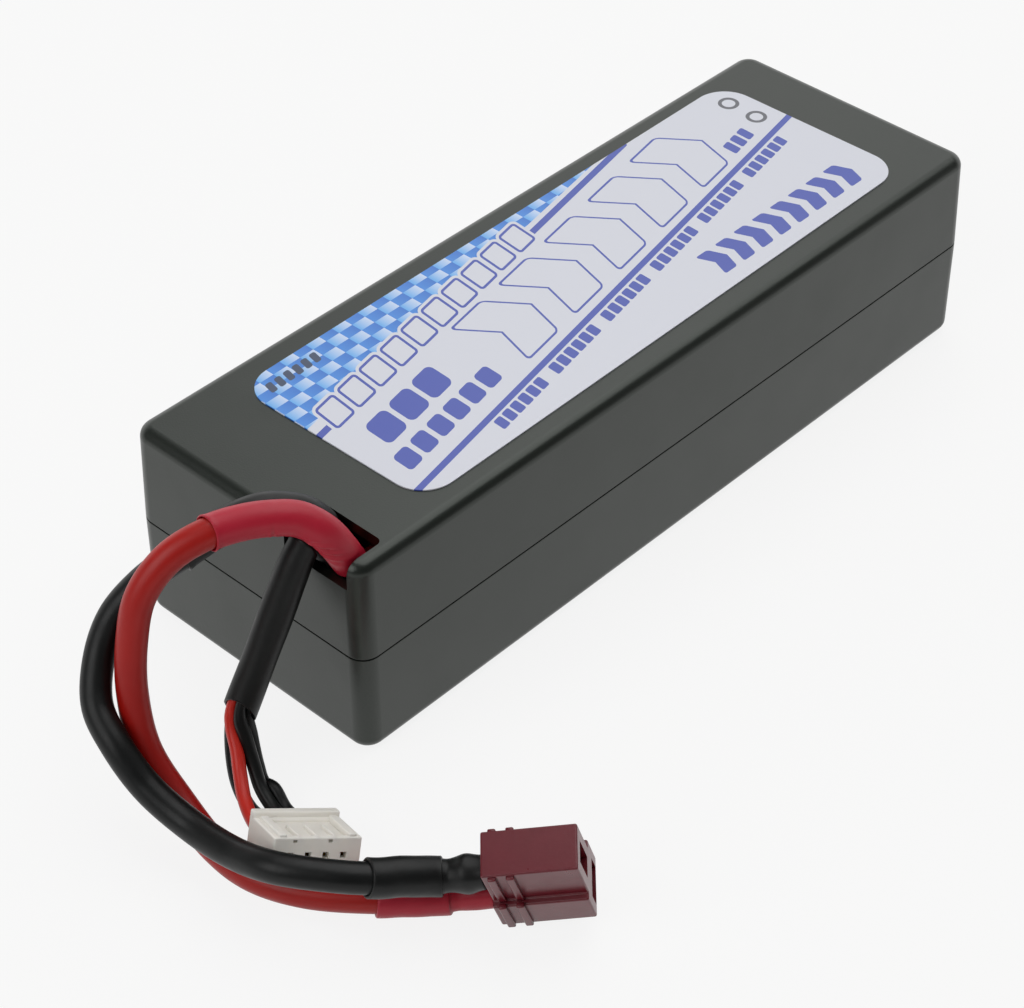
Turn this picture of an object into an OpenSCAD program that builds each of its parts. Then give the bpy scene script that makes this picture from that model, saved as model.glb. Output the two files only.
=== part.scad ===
// Hard-case lithium polymer battery pack: three pouch cells in a two-part welded case,
// two main leads to a T-shaped power plug and a sleeved balance lead to a small white plug.
// Origin: centre of the case's underside. +X along the case, away from the leads. +Z up.

/* [Case] */
// Length of the case
case_l = 138; // [130:1:150]
// Width of the case
case_w = 47; // [45:0.5:52]
// Height of the lower shell, up to the seam
lower_h = 17.6; // [16.6:0.1:19]
// Height of the upper shell, from the seam up
upper_h = 16.8; // [16.2:0.1:18]
// Thickness of the side walls
wall = 1.8; // [1.4:0.1:2.2]
// Thickness of the floor and of the top
plate_t = 1.8; // [1.4:0.1:2.2]
// Radius of the upright corners
corner_r = 3; // [2.5:0.1:4]
// Radius of the edges round the floor and the top
edge_r = 1.9; // [1:0.1:2.2]
// How far each upper wall leans in over its height
draft = 0.4; // [0:0.1:0.6]
// Height of the dark line left open along the seam
seam_gap = 0.2; // [0.1:0.05:0.4]
// Thickness of the tongue that locates the upper shell
tongue_t = 0.8; // [0.5:0.1:0.9]
// Height of the tongue above the seam
tongue_h = 1.6; // [1:0.1:2.4]
// Clearance between the tongue and the upper shell
tongue_clear = 0.1; // [0.05:0.05:0.2]

/* [Cable notch] */
// Width of the notch in the upper shell
notch_w = 12.2; // [12:0.1:13]
// Distance from the near side of the case to the notch
notch_side = 2.8; // [2.6:0.1:3.2]
// Depth of the notch along the case
notch_d = 7.3; // [7.2:0.1:9]
// Depth of the notch below the top
notch_h = 4.4; // [4.3:0.1:5]
// Radius of the notch's corners
notch_r = 1; // [0.5:0.1:1.4]

/* [Label] */
// Distance from the case's front end to the label
label_front = 16.7; // [15:0.1:22]
// Distance from the label to the case's back end
label_back = 11.4; // [8:0.1:16]
// Distance from the near side of the case to the label
label_near = 5; // [4:0.1:8]
// Distance from the far side of the case to the label
label_far = 4.8; // [4:0.1:8]
// How far the label is turned out of square, in degrees
label_turn = 0.7; // [0:0.1:1]
// Thickness of the label
label_t = 0.2; // [0.1:0.05:0.4]
// Corner radius of the label
label_r = 5.5; // [2:0.5:8]

/* [Cells] */
// Number of cells in the stack
cell_n = 3; // [2:1:3]
// Room for the leads between the front wall and the tab board
lead_room = 10.8; // [10.6:0.1:11]
// Gap between a cell's side and the case
cell_gap = 0.5; // [0.3:0.1:1.5]
// Radius of a cell's long edges
cell_r = 1.5; // [0.8:0.1:2.5]
// Length of the sealed flange in front of a cell
flange_l = 3.6; // [2:0.1:3.6]
// Thickness of the sealed flange
flange_t = 0.4; // [0.3:0.1:0.8]
// Thickness of the tape between two cells
tape_t = 0.3; // [0.1:0.05:0.3]
// Width of a terminal tab
tab_w = 8; // [6:0.5:9]
// Thickness of a terminal tab
tab_t = 0.2; // [0.1:0.05:0.3]
// Distance of a tab's middle from the middle line
tab_y = 12; // [9:0.5:14]
// Length of a tab folded against the board
tab_fold = 3; // [2:0.1:3.2]

/* [Padding] */
// Thickness of the foam under the cells
bottom_foam_t = 1.2; // [1:0.1:1.4]
// Thickness of the foam over the cells
top_foam_t = 1.7; // [1.2:0.1:2]
// Thickness of the foam behind the cells
end_foam_t = 1.5; // [1:0.1:2]
// Distance of the foam's edges from the cells' sides
foam_margin = 2; // [1:0.5:5]

/* [Tab board] */
// Thickness of the board
board_t = 1; // [0.8:0.1:1.2]
// Gap between the board's side edges and the case
board_gap = 1.7; // [1:0.1:2.5]
// Distance from the floor up to the board
board_lift = 1.4; // [1:0.1:1.8]
// Distance from the board up to the top of the case
board_drop = 3.4; // [3:0.1:4]
// Thickness of the copper links on the board
link_t = 0.3; // [0.2:0.05:0.4]
// Width of the copper links
link_w = 4; // [3:0.1:4]
// Clearance between the links and the balance wires' joints
link_clear = 0.4; // [0.2:0.1:1]
// Thickness of the insulating sheet behind the flanges
sheet_t = 0.3; // [0.2:0.05:0.4]

/* [Leads] */
// Diameter of a main lead over its insulation
lead_d = 4.4; // [4:0.1:4.5]
// Wall of the shrink sleeves where the leads leave the case
exit_sleeve_t = 0.25; // [0.2:0.05:0.25]
// Wall of the shrink sleeves at the power plug
plug_sleeve_t = 0.55; // [0.3:0.05:0.6]
// Clearance between a lead and its sleeves
sleeve_clear = 0.04; // [0.02:0.01:0.06]
// Length of a solder joint under a lead's end
solder_l = 4; // [2:0.5:6]

/* [Balance lead] */
// Diameter of a balance wire
wire_d = 1.6; // [1.2:0.1:1.6]
// Diameter of the sheath round the balance wires
sheath_d = 4.8; // [4.7:0.05:5]
// Wall of the sheath
sheath_t = 0.3; // [0.2:0.05:0.35]
// Diameter of the solder dot at the end of a balance wire
dot_d = 2; // [1.8:0.1:2.2]

/* [Balance plug] */
// Size of the balance plug towards its socket
bplug_l = 9.8; // [9:0.1:10.5]
// Width of the balance plug, across its row of wires
bplug_w = 12.4; // [12:0.1:12.6]
// Thickness of the balance plug
bplug_t = 5; // [4.8:0.1:5]
// Distance from one contact to the next
pitch = 2.5; // [2.4:0.05:2.54]
// Side of a contact's chamber
chamber_w = 1.8; // [1.7:0.05:1.9]
// Wall of a contact sleeve
contact_t = 0.3; // [0.2:0.05:0.4]
// Clearance between a contact and its chamber
contact_clear = 0.1; // [0.05:0.05:0.15]
// Length of the finger lip at the wire end
lip_l = 1.8; // [1:0.1:2.5]
// Height of the finger lip
lip_h = 0.8; // [0.4:0.1:1]
// Width of a guide rib
rib_w = 0.8; // [0.5:0.1:1.2]
// Distance of a guide rib's middle from the plug's middle
rib_y = 4.4; // [4:0.1:5]

/* [Power plug] */
// Length of the power plug
plug_l = 12.8; // [12:0.1:14]
// Thickness of its narrow half
narrow_t = 6.4; // [6.2:0.1:6.6]
// Thickness of its wide half
wide_t = 8.5; // [8.3:0.1:8.6]
// Width of its narrow half
narrow_w = 7.8; // [7.6:0.1:8]
// Width of its wide half
wide_w = 6.2; // [6:0.1:6.3]
// Height of the grip ribs
grip_h = 0.6; // [0.4:0.1:0.7]
// Width of the grip ribs
grip_w = 1.3; // [0.8:0.1:1.5]
// Distance from the rear face to the first grip rib's middle
grip_x = 1.4; // [1.3:0.1:1.8]
// Distance from one grip rib to the next
grip_pitch = 2.4; // [2.2:0.1:3]
// Long side of a blade slot
slot_l = 5.4; // [5:0.1:5.8]
// Short side of a blade slot
slot_w = 3; // [2.6:0.1:3.2]
// Depth of a blade slot
slot_d = 9; // [7:0.5:10]
// Thickness of a contact blade
blade_t = 1; // [0.8:0.1:1.2]
// Clearance round a contact's tail in the plug
tail_clear = 0.05; // [0.02:0.01:0.1]
// Width of a contact's tail
tail_w = 3; // [2:0.1:4]

/* [Hidden] */
$fn = 48;

// Case
case_h = lower_h + upper_h;
inner_l = case_l - 2 * wall;
inner_w = case_w - 2 * wall;
inner_r = corner_r - wall;
rim_r = corner_r - wall + tongue_t;
front_x = -case_l / 2;
near_y = -case_w / 2;
inner_front_x = front_x + wall;
inner_back_x = case_l / 2 - wall;
ceiling_z = case_h - plate_t;
notch_y = near_y + notch_side + notch_w / 2;
label_l = case_l - label_front - label_back;
label_w = case_w - label_near - label_far;

// Tab board: it stands behind the leads, with the folded tabs, the sheet and the flanges behind it
board_x = inner_front_x + lead_room;
board_w = inner_w - 2 * board_gap;
board_z = plate_t + board_lift;
board_h = ceiling_z - board_drop - board_z;
link_x = board_x - link_t;
tab_face_x = board_x + board_t;
sheet_x = tab_face_x + tab_t;
flange_x = sheet_x + sheet_t;

// Cell stack: it fills the room between the board, the end foam and the foam under and over it
stack_z = plate_t + bottom_foam_t;
stack_h = ceiling_z - top_foam_t - stack_z;
cell_t = (stack_h - (cell_n - 1) * tape_t) / cell_n;
cell_w = inner_w - 2 * cell_gap;
cell_front_x = flange_x + flange_l;
cell_back_x = inner_back_x - end_foam_t;
cell_l = cell_back_x - cell_front_x;
function cell_z(i) = stack_z + i * (cell_t + tape_t);
function tab_z(i) = cell_z(i) + cell_t / 2;

// Leads: radii and the places of their soldered ends
lead_r = lead_d / 2;
sleeve_in_r = lead_r + sleeve_clear;
wire_r = wire_d / 2;
sheath_r = sheath_d / 2;
lead_sides = 12;
wire_sides = 8;

// Front end and near side of the case that the routes and plugs below are drawn beside
drawn_front_x = -69;
drawn_near_y = -23.5;
lead_shift = [front_x - drawn_front_x, near_y - drawn_near_y, 0];
function beside_case(p) = [for (v = p) v + lead_shift];
// Route of the positive lead, from its solder joint to the power plug
positive_points = [
    [-58.6, -18, 14], [-58.6, -18, 19.5], [-60.2, -18, 25.3], [-64.5, -17.8, 32.2],
    [-65.9, -17.8, 34.6], [-68.2, -16.6, 38], [-70.6, -14.2, 40.1], [-73.6, -12, 41],
    [-77, -9.7, 41], [-81, -7.5, 40.2], [-86, -5.2, 37.8], [-90.3, -3.9, 33],
    [-93, -4.3, 26.5], [-95, -5.8, 19.5], [-96.3, -9.1, 12], [-96.2, -15, 6],
    [-96.7, -22.7, 2.8], [-96.4, -29.7, 2.4], [-93.6, -36.8, 2.4], [-88.2, -44.6, 2.9],
    [-84.2, -48.6, 2.9], [-81, -51.6, 2.9], [-79.3, -53.3, 3.1], [-76.9, -56.2, 3.8]];
// Route of the negative lead, from its solder joint to the power plug
negative_points = [
    [-58.6, -7, 14], [-58.6, -7, 19.5], [-60.3, -8.6, 25.3], [-64.2, -11.1, 32],
    [-65.7, -11.1, 34.3], [-67.8, -10.4, 36.6], [-71.8, -7.4, 38], [-77, -5.1, 37.1],
    [-82.5, -3, 34.7], [-87.5, -0.7, 31.2], [-91.7, 0.7, 27.3], [-95.4, 0.1, 22.8],
    [-99.1, -3.2, 18.5], [-100.6, -8.2, 15.5], [-100.3, -13.8, 11.1], [-99.4, -20.8, 8.4],
    [-99.3, -29.3, 9.2], [-98.6, -36.8, 11.4], [-95.1, -42.3, 11.3], [-91.3, -46.4, 10.7],
    [-87.4, -49.4, 10.1], [-83.1, -52.2, 8.8], [-79.3, -56.7, 9.9]];
// First and last route point under each sleeve
positive_exit = [3, 9];
positive_plug_end = [19, 21];
negative_exit = [3, 8];
negative_plug_end = [19, 21];
// Route of the sheath, from the notch down to its free end
sheath_points = [[-70.6, -12.9, 32], [-76.5, -12.7, 21.6], [-82.6, -12.8, 12]];
// Each wire's lane in the sheath
wire_lanes = [[-0.67, 0.81, 0.44], [0.67, 0.81, -0.44], [-0.67, -0.81, 0.44], [0.67, -0.81, -0.44]];
// Each wire's route inside the case, from the tab board to the sheath
wire_inner_points = [
    [[-57.2, -14.4, 26.5], [-59.5, -14.4, 26.5], [-61.8, -14.4, 28.4], [-63.5, -14.4, 31.5],
     [-64.9, -14.4, 34], [-67.6, -14.3, 34.7], [-69.6, -13, 35.1]],
    [[-57.2, -14.4, 21.5], [-60, -14.4, 21.5], [-64.4, -13.6, 23.2], [-66.2, -13.3, 26.5],
     [-66.2, -13.2, 29.5], [-66.5, -13.2, 30.7], [-68.2, -12.5, 31.7]],
    [[-57.2, -14.4, 24], [-60, -14.4, 24], [-63, -14.4, 26.8], [-64.7, -14.4, 30.2],
     [-65.8, -14.5, 32.3], [-67.6, -14.4, 33.1], [-69.7, -14.3, 33.7]],
    [[-57.2, -14.4, 19], [-60.5, -14.4, 19], [-64.8, -15.1, 21.6], [-66.2, -15.3, 25.5],
     [-66.2, -15.3, 29.5], [-66.5, -15.3, 30.7], [-68.1, -14.8, 31.7]]];
// Each wire's route from the sheath to the balance plug
wire_outer_points = [
    [[-84, -12.7, 10], [-85, -14.5, 7.4], [-86.6, -17, 5.2], [-88.3, -20.3, 3.8],
     [-90.6, -24.3, 3.9], [-91.5, -26.9, 5.2]],
    [[-82.6, -11, 9.3], [-85.3, -12.6, 5.2], [-87, -16.2, 2.8], [-87.9, -20, 1.5],
     [-88.5, -25.5, 3.2], [-89.4, -28, 4.5]],
    [[-83.9, -15, 9.3], [-84.5, -17.1, 6], [-84.9, -19.6, 3.6], [-85.4, -23, 2.2],
     [-86.4, -26.5, 2.5], [-87.4, -29.1, 3.7]],
    [[-82.2, -14.6, 8.3], [-82.9, -17, 4.8], [-83, -19.8, 2.6], [-83.2, -23.5, 1.2],
     [-84.3, -27.7, 1.7], [-85.3, -30.3, 2.9]]];
positive_route = beside_case(positive_points);
negative_route = beside_case(negative_points);
sheath_route = beside_case(sheath_points);
function wire_route(k) = beside_case(concat(wire_inner_points[k],
    [for (v = sheath_points) v + wire_lanes[k]], wire_outer_points[k]));
function wire_start(k) = wire_inner_points[k][0] + lead_shift;
link_y = abs(wire_start(0)[1]) - dot_d / 2 - link_w / 2 - link_clear;

// Power plug: rear end of its narrow edge, and its turn about X, Y and Z
plug_at = [-80.8, -56.8, 14.6] + lead_shift;
plug_turn = [19, -11, -50];
plug_w = narrow_w + wide_w;
negative_slot_z = -narrow_w / 2 - 0.7;
positive_slot_z = -narrow_w - wide_w / 2 - 0.4;
// Balance plug: middle of its wire end, and its turn about X, Y and Z
bplug_at = [-88.4, -28.6, 4.1] + lead_shift;
bplug_turn = [-20, -24.5, -110];
contact_n = cell_n + 1;

// ---- Helpers ----

// Upright bar with rounded corners, middle on the Z axis
module rounded_bar(l, w, h, r) {
    linear_extrude(h) rounded_rect(l, w, r);
}

module rounded_rect(l, w, r) {
    union() {
        square([l - 2 * r, w], center = true);
        square([l, w - 2 * r], center = true);
        for (x = [-1, 1])
            for (y = [-1, 1])
                translate([x * (l / 2 - r), y * (w / 2 - r)]) circle(r);
    }
}

// Outline of a shell's wall from its seam outwards: r is measured from a corner's own axis
module shell_profile(h, lean) {
    union() {
        polygon([[0, 0], [corner_r, 0], [corner_r - lean, h - edge_r],
                 [corner_r - lean - edge_r, h - edge_r], [corner_r - lean - edge_r, h], [0, h]]);
        intersection() {
            translate([corner_r - lean - edge_r, h - edge_r]) circle(edge_r);
            square([corner_r, h]);
        }
    }
}

// Solid half of the case, seam down at z = 0 and rounded edge up at z = h
module shell_solid(h, lean) {
    dx = case_l / 2 - corner_r;
    dy = case_w / 2 - corner_r;
    union() {
        translate([-dx, -dy, 0]) cube([2 * dx, 2 * dy, h]);
        for (x = [-1, 1])
            for (y = [-1, 1])
                translate([x * dx, y * dy, 0]) rotate_extrude() shell_profile(h, lean);
        for (x = [-1, 1])
            translate([x * dx, x * dy, 0]) rotate([90, 0, x < 0 ? 180 : 0])
                linear_extrude(2 * dy) shell_profile(h, lean);
        for (y = [-1, 1])
            translate([-y * dx, y * dy, 0]) rotate([90, 0, y * 90])
                linear_extrude(2 * dx) shell_profile(h, lean);
    }
}

function unit(v) = v / norm(v);
function tangent(p, i) = unit(p[min(i + 1, len(p) - 1)] - p[max(i - 1, 0)]);
function across(v, t) = unit(v - (v * t) * t);

// One sideways direction for each point of a route, carried along it without twist
function sideways(p) = [for (i = 0, n = across([0, 1, 0], tangent(p, 0));
                             i < len(p);
                             i = i + 1, n = i < len(p) ? across(n, tangent(p, i)) : n) n];

// Points of the rings of radius r round the route's points from first to last
function rings(p, first, last, r, sides) =
    let (side = sideways(p))
    [for (i = [first:last])
        let (t = tangent(p, i), n = side[i], b = cross(t, n))
        for (k = [0:sides - 1])
            p[i] + r * (cos(360 * k / sides) * n + sin(360 * k / sides) * b)];

function wall_faces(count, sides, base, flip) =
    [for (i = [0:count - 2])
        for (k = [0:sides - 1])
            let (a = base + i * sides + k, b = base + i * sides + (k + 1) % sides,
                 c = b + sides, d = a + sides)
            for (f = flip ? [[a, b, c], [a, c, d]] : [[a, c, b], [a, d, c]]) f];

// Round cord through a route's points
module cord(p, r, sides) {
    count = len(p);
    end = (count - 1) * sides;
    polyhedron(rings(p, 0, count - 1, r, sides),
        concat(wall_faces(count, sides, 0, false),
               [[for (k = [0:sides - 1]) k]],
               [[for (k = [0:sides - 1]) end + sides - 1 - k]]));
}

// Open tube along part of a route
module sleeve(p, first, last, r_in, r_out, sides) {
    count = last - first + 1;
    inner = count * sides;
    end = (count - 1) * sides;
    polyhedron(concat(rings(p, first, last, r_out, sides), rings(p, first, last, r_in, sides)),
        concat(wall_faces(count, sides, 0, false), wall_faces(count, sides, inner, true),
               ring_end(0, inner, sides, true), ring_end(end, inner + end, sides, false)));
}

function ring_end(outer, inner, sides, flip) =
    [for (k = [0:sides - 1])
        let (a = outer + k, b = outer + (k + 1) % sides,
             c = inner + (k + 1) % sides, d = inner + k)
        for (f = flip ? [[a, b, c], [a, c, d]] : [[a, c, b], [a, d, c]]) f];

// ---- Case ----

module lower_shell() {
    color("#232425") difference() {
        union() {
            translate([0, 0, lower_h]) mirror([0, 0, 1]) shell_solid(lower_h, 0);
            translate([0, 0, lower_h - wall])
                rounded_bar(inner_l + 2 * tongue_t, inner_w + 2 * tongue_t, wall + tongue_h, rim_r);
        }
        translate([0, 0, plate_t])
            rounded_bar(inner_l, inner_w, case_h, inner_r);
    }
}

module upper_shell() {
    rebate = tongue_t + tongue_clear;
    color("#1d1e20") difference() {
        translate([0, 0, lower_h]) shell_solid(upper_h, draft);
        // Open seam line
        translate([0, 0, lower_h - seam_gap])
            rounded_bar(2 * case_l, 2 * case_w, 2 * seam_gap, corner_r);
        // Seat of the tongue
        translate([0, 0, lower_h - seam_gap])
            rounded_bar(inner_l + 2 * rebate, inner_w + 2 * rebate, tongue_h + seam_gap, rim_r + tongue_clear);
        // Inside
        translate([0, 0, lower_h - seam_gap])
            rounded_bar(inner_l, inner_w, ceiling_z - lower_h + seam_gap, inner_r);
        cable_notch();
    }
}

// Block taken out of the upper shell for the leads, open to the front and to the top
module cable_notch() {
    translate([front_x + notch_d / 2 - notch_r, notch_y, case_h - notch_h])
        rounded_bar(notch_d + 2 * notch_r, notch_w, 2 * notch_h, notch_r);
}

module top_label() {
    color("#d6d6e2")
        translate([(label_front - label_back) / 2, (label_near - label_far) / 2, case_h])
            rotate([0, 0, label_turn]) rounded_bar(label_l, label_w, label_t, label_r);
}

// ---- Cells and what packs them ----

module cell(i) {
    color("#aeb3b8") translate([0, 0, cell_z(i)]) {
        translate([cell_front_x, 0, cell_t / 2]) rotate([90, 0, 90])
            linear_extrude(cell_l) rounded_rect(cell_w, cell_t, cell_r);
        translate([flange_x, -cell_w / 2 + cell_r, cell_t / 2 - flange_t / 2])
            cube([flange_l, cell_w - 2 * cell_r, flange_t]);
    }
}

// Terminal tab: straight out of the flange, through the sheet and down the back of the board
module tab(i, y) {
    translate([tab_face_x, y - tab_w / 2, tab_z(i) + flange_t / 2]) {
        cube([flange_x - tab_face_x + flange_l / 2, tab_w, tab_t]);
        translate([0, 0, tab_t - tab_fold]) cube([tab_t, tab_w, tab_fold]);
    }
}

// Odd and even cells lie with opposite poles to the same side
module tabs(pole) {
    for (i = [0:cell_n - 1]) tab(i, pole * (i % 2 == 0 ? tab_y : -tab_y));
}

module positive_tabs() {
    color("#c9ccd0") tabs(1);
}

module negative_tabs() {
    color("#b08a52") tabs(-1);
}

module cell_tape() {
    color("#f2f2ee")
        for (i = [0:cell_n - 2])
            translate([cell_front_x + foam_margin, -cell_w / 2 + foam_margin, cell_z(i) + cell_t])
                cube([cell_l - 2 * foam_margin, cell_w - 2 * foam_margin, tape_t]);
}

module foam(z, t) {
    color("#3a3b3d") translate([cell_front_x + foam_margin, -cell_w / 2 + foam_margin, z])
        cube([cell_l - 2 * foam_margin, cell_w - 2 * foam_margin, t]);
}

module end_foam() {
    color("#3a3b3d") translate([cell_back_x, -cell_w / 2 + foam_margin, stack_z])
        cube([end_foam_t, cell_w - 2 * foam_margin, stack_h]);
}

// ---- Tab board ----

module tab_board() {
    color("#1f5a3a") translate([board_x, -board_w / 2, board_z]) cube([board_t, board_w, board_h]);
}

// Copper links that join each cell to the next in series
module series_links() {
    color("#b87333")
        for (i = [0:cell_n - 2])
            translate([link_x, (i % 2 == 0 ? link_y : -link_y) - link_w / 2, tab_z(i) - tab_fold / 2])
                cube([link_t, link_w, tab_z(i + 1) - tab_z(i)]);
}

// Sheet between the flanges and the folded tabs, slit where the tabs pass
module insulating_sheet() {
    color("#c8a25a") difference() {
        translate([sheet_x, -board_w / 2, board_z]) cube([sheet_t, board_w, board_h]);
        for (i = [0:cell_n - 1])
            for (y = [-tab_y, tab_y])
                translate([sheet_x - sheet_t, y - tab_w / 2, tab_z(i) + flange_t / 2])
                    cube([3 * sheet_t, tab_w, tab_t]);
    }
}

module solder_joints() {
    color("#c4c6c8") {
        for (p = [positive_route[0], negative_route[0]])
            translate([p[0], p[1], p[2] - solder_l]) cylinder(h = solder_l, r = board_x - p[0]);
        for (k = [0:contact_n - 1])
            translate(wire_start(k)) rotate([0, 90, 0]) cylinder(h = board_x - wire_start(k)[0], d = dot_d);
    }
}

// ---- Main leads ----

module positive_lead() {
    color("#a81f1d") cord(positive_route, lead_r, lead_sides);
}

module negative_lead() {
    color("#2b2d2f") cord(negative_route, lead_r, lead_sides);
}

module exit_sleeve(p, ends) {
    sleeve(p, ends[0], ends[1], sleeve_in_r, sleeve_in_r + exit_sleeve_t, lead_sides);
}

module plug_sleeve(p, ends) {
    sleeve(p, ends[0], ends[1], sleeve_in_r, sleeve_in_r + plug_sleeve_t, lead_sides);
}

// ---- Power plug ----
// Own frame: X from the rear face to the mating face, Z up along the width from the wide half

module place_plug() {
    translate(plug_at) rotate(plug_turn) children();
}

module plug_section(grow) {
    union() {
        translate([-narrow_t / 2 - grow, -narrow_w]) square([narrow_t + 2 * grow, narrow_w]);
        translate([-wide_t / 2 - grow, -plug_w]) square([wide_t + 2 * grow, wide_w]);
    }
}

module plug_bar(x, l, grow) {
    translate([x, 0, 0]) rotate([90, 0, 90]) linear_extrude(l) plug_section(grow);
}

module plug_housing() {
    color("#5a2229") place_plug() difference() {
        union() {
            plug_bar(0, plug_l, 0);
            for (i = [0, 1]) plug_bar(grip_x + i * grip_pitch - grip_w / 2, grip_w, grip_h);
        }
        blade_slot(negative_slot_z, slot_w, slot_l);
        blade_slot(positive_slot_z, slot_l, slot_w);
        for (z = [negative_slot_z, positive_slot_z])
            translate([-plug_l, 0, z]) cube_on_axis(2 * plug_l, tail_w + 2 * tail_clear, blade_t + 2 * tail_clear);
    }
}

module blade_slot(z, w, h) {
    translate([plug_l - slot_d, 0, z]) cube_on_axis(2 * slot_d, w, h);
}

// Block that starts at x = 0 with its middle on the X axis
module cube_on_axis(l, w, h) {
    translate([0, -w / 2, -h / 2]) cube([l, w, h]);
}

// Contact: a blade in its slot on a tail that reaches the rear face
module contact(z, turn) {
    place_plug() translate([0, 0, z]) {
        cube_on_axis(plug_l - slot_d + blade_t, tail_w, blade_t);
        translate([plug_l - slot_d, 0, 0]) rotate([turn, 0, 0])
            cube_on_axis(slot_d - blade_t, slot_l - 2 * contact_clear, blade_t);
    }
}

// ---- Balance lead ----

module balance_sheath() {
    color("#26282a") sleeve(sheath_route, 0, len(sheath_route) - 1, sheath_r - sheath_t, sheath_r, lead_sides);
}

module balance_wire(k) {
    color(k == 0 ? "#c22a20" : "#202224") cord(wire_route(k), wire_r, wire_sides);
}

module place_bplug() {
    translate(bplug_at) rotate(bplug_turn) children();
}

function contact_y(k) = (k - (contact_n - 1) / 2) * pitch;

module balance_housing() {
    color("#e9e6dc") place_bplug() difference() {
        union() {
            cube_on_axis(bplug_l, bplug_w, bplug_t);
            translate([0, 0, bplug_t / 2]) cube_on_axis(lip_l, bplug_w, 2 * lip_h);
            for (y = [-rib_y, rib_y])
                translate([0, y, bplug_t / 2]) cube_on_axis(bplug_l, rib_w, lip_h);
        }
        for (k = [0:contact_n - 1])
            translate([-bplug_l, contact_y(k), 0]) cube_on_axis(3 * bplug_l, chamber_w, chamber_w);
    }
}

module balance_contacts() {
    side = chamber_w - 2 * contact_clear;
    color("#c9b26a") place_bplug()
        for (k = [0:contact_n - 1])
            translate([0, contact_y(k), 0]) difference() {
                cube_on_axis(bplug_l - lip_l, side, side);
                translate([lip_l, 0, 0])
                    cube_on_axis(bplug_l, side - 2 * contact_t, side - 2 * contact_t);
            }
}

lower_shell();
upper_shell();
top_label();
cell(0);  // cell_1
cell(1);  // cell_2
cell(2);  // cell_3
positive_tabs();
negative_tabs();
cell_tape();
foam(plate_t, bottom_foam_t);  // bottom_foam
foam(stack_z + stack_h, top_foam_t);  // top_foam
end_foam();
tab_board();
series_links();
insulating_sheet();
solder_joints();
positive_lead();
negative_lead();
color("#b8283c") exit_sleeve(positive_route, positive_exit);  // positive_exit_sleeve
color("#2c2e30") exit_sleeve(negative_route, negative_exit);  // negative_exit_sleeve
color("#8c1c2c") plug_sleeve(positive_route, positive_plug_end);  // positive_plug_sleeve
color("#2c2e30") plug_sleeve(negative_route, negative_plug_end);  // negative_plug_sleeve
plug_housing();
color("#c9a24a") contact(positive_slot_z, 0);  // positive_contact
color("#c9a24a") contact(negative_slot_z, 90);  // negative_contact
balance_sheath();
balance_wire(0);  // balance_wire_1
balance_wire(1);  // balance_wire_2
balance_wire(2);  // balance_wire_3
balance_wire(3);  // balance_wire_4
balance_housing();
balance_contacts();
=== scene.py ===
import bisect
import itertools
import math

import bmesh
import bpy
from mathutils import Euler, Matrix, Vector


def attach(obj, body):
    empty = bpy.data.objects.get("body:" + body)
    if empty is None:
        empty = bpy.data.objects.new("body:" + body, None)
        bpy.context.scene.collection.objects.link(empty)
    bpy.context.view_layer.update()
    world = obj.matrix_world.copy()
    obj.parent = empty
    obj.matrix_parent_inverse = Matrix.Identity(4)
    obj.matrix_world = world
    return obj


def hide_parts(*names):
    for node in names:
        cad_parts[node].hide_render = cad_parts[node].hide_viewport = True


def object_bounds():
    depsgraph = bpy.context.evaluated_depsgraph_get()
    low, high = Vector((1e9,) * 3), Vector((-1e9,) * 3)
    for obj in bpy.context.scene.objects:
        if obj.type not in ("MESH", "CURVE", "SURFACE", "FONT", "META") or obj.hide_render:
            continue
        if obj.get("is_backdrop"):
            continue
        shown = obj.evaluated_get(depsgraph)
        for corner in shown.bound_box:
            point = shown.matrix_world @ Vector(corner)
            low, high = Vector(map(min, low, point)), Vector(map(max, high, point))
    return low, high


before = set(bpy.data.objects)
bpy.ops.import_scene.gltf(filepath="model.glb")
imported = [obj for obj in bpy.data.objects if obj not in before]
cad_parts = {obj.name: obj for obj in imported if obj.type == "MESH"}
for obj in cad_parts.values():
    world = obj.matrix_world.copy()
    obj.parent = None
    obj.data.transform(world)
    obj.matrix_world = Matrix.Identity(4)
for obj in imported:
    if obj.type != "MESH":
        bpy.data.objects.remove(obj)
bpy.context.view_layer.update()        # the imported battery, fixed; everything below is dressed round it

MM = 0.001


def metres(points):
    return [Vector(p) * MM for p in points]


# ---------------------------------------------------------------- camera

AZIMUTH, ELEVATION, ROLL = (math.radians(a) for a in (-46.65, 40.81, -0.23))
CAMERA_AT = Vector((-249.8, -222.3, 278.5)) * MM

camera_data = bpy.data.cameras.new("camera")
camera_data.sensor_width = 36
camera_data.lens = 95.87
camera_data.clip_start, camera_data.clip_end = 0.01, 10
camera = bpy.data.objects.new("camera", camera_data)
bpy.context.scene.collection.objects.link(camera)
camera.location = CAMERA_AT
toward_camera = Vector((
    math.sin(AZIMUTH) * math.cos(ELEVATION), -math.cos(AZIMUTH) * math.cos(ELEVATION), math.sin(ELEVATION)))
camera.rotation_mode = "QUATERNION"
camera.rotation_quaternion = ((-toward_camera).to_track_quat("-Z", "Y")
                              @ Euler((0, 0, ROLL)).to_quaternion())
bpy.context.scene.camera = camera


# ---------------------------------------------------------------- routes of the leads and wires

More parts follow.
